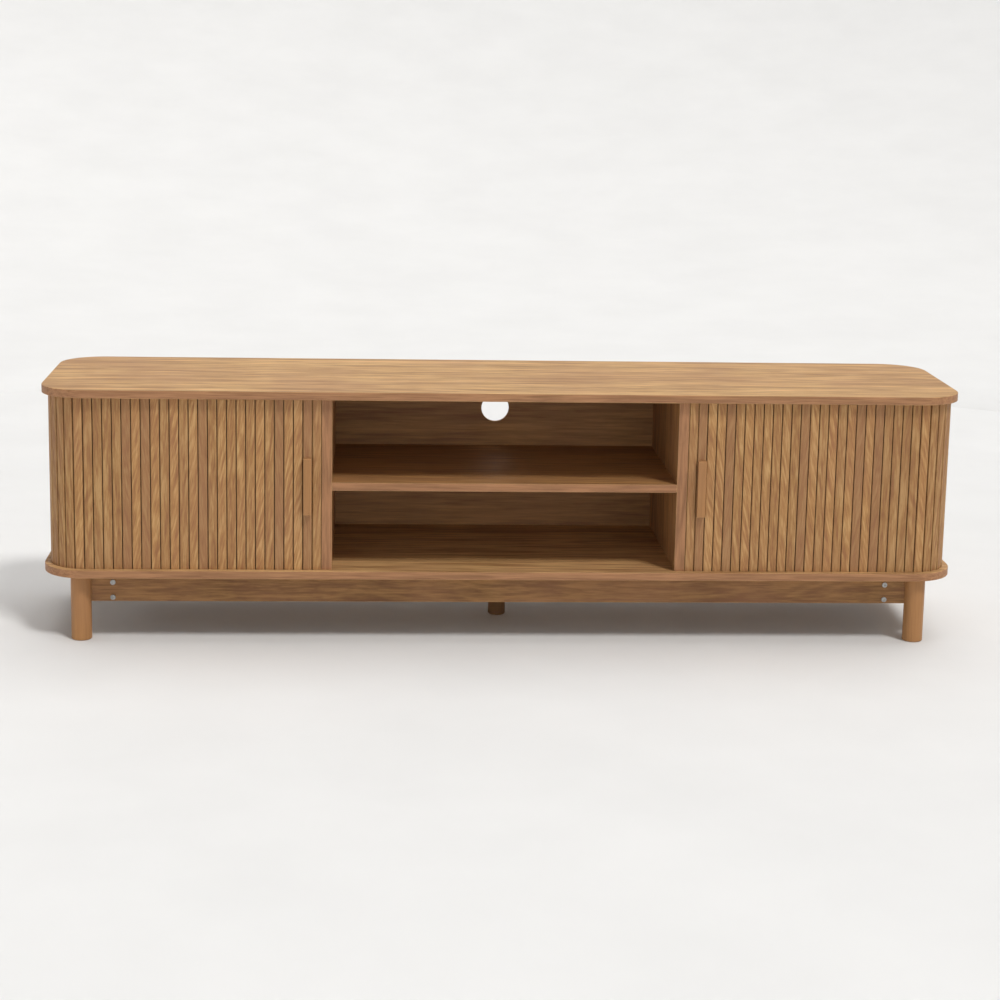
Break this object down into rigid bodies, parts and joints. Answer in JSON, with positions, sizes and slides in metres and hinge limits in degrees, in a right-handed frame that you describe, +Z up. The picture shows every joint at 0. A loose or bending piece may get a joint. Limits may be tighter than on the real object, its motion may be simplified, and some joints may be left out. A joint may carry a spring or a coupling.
{
  "type": "media cabinet",
  "caption": "Low oak media cabinet with rounded ends, sliding slatted tambour doors, an open centre bay with a shelf, round legs and a cable hole in the back",
  "frame": {"origin": "centre of the footprint, on the floor", "axes": "+X along the cabinet, front faces -Y, +Z up"},
  "size_m": [1.8, 0.42, 0.5],
  "materials": {
    "board_oak": "matt lacquered oak veneer",
    "panel_oak": "matt lacquered oak veneer",
    "slat_oak": "matt lacquered oak with strong grain",
    "turned_oak": "smooth satin lacquered solid wood",
    "block_wood": "raw sawn softwood",
    "canvas": "plain woven backing cloth",
    "steel": "bright zinc"
  },
  "bodies": {
    "cabinet": {"back_left_leg": "turned_oak", "back_rail": "panel_oak", "back_right_leg": "turned_oak", "bottom_board": "board_oak", "centre_back_panel": "panel_oak", "centre_leg": "turned_oak", "centre_shelf": "panel_oak", "corner_blocks": "block_wood", "front_left_leg": "turned_oak", "front_rail": "panel_oak", "front_right_leg": "turned_oak", "left_end_canvas": "canvas", "left_end_slats": "slat_oak", "left_front_canvas": "canvas", "left_front_slats": "slat_oak", "left_inner_back_panel": "panel_oak", "left_inner_end_panel": "panel_oak", "left_outer_back_panel": "panel_oak", "left_partition": "panel_oak", "left_side_rail": "panel_oak", "rail_screws": "steel", "right_end_canvas": "canvas", "right_end_slats": "slat_oak", "right_front_canvas": "canvas", "right_front_slats": "slat_oak", "right_inner_back_panel": "panel_oak", "right_inner_end_panel": "panel_oak", "right_outer_back_panel": "panel_oak", "right_partition": "panel_oak", "right_side_rail": "panel_oak", "top_board": "board_oak"},
    "left_door": {"left_lead_stile": "slat_oak", "left_handle": "turned_oak", "left_handle_screws": "steel"},
    "right_door": {"right_lead_stile": "slat_oak", "right_handle": "turned_oak", "right_handle_screws": "steel"}
  },
  "joints": [
    {"name": "left_door_slide", "type": "slide", "parent": "cabinet", "child": "left_door", "axis": [-1, 0, 0], "range_m": [0, 0.4026], "deforming": ["left_front_slats", "left_front_canvas"]},
    {"name": "right_door_slide", "type": "slide", "parent": "cabinet", "child": "right_door", "axis": [1, 0, 0], "range_m": [0, 0.4026], "deforming": ["right_front_slats", "right_front_canvas"]}
  ]
}
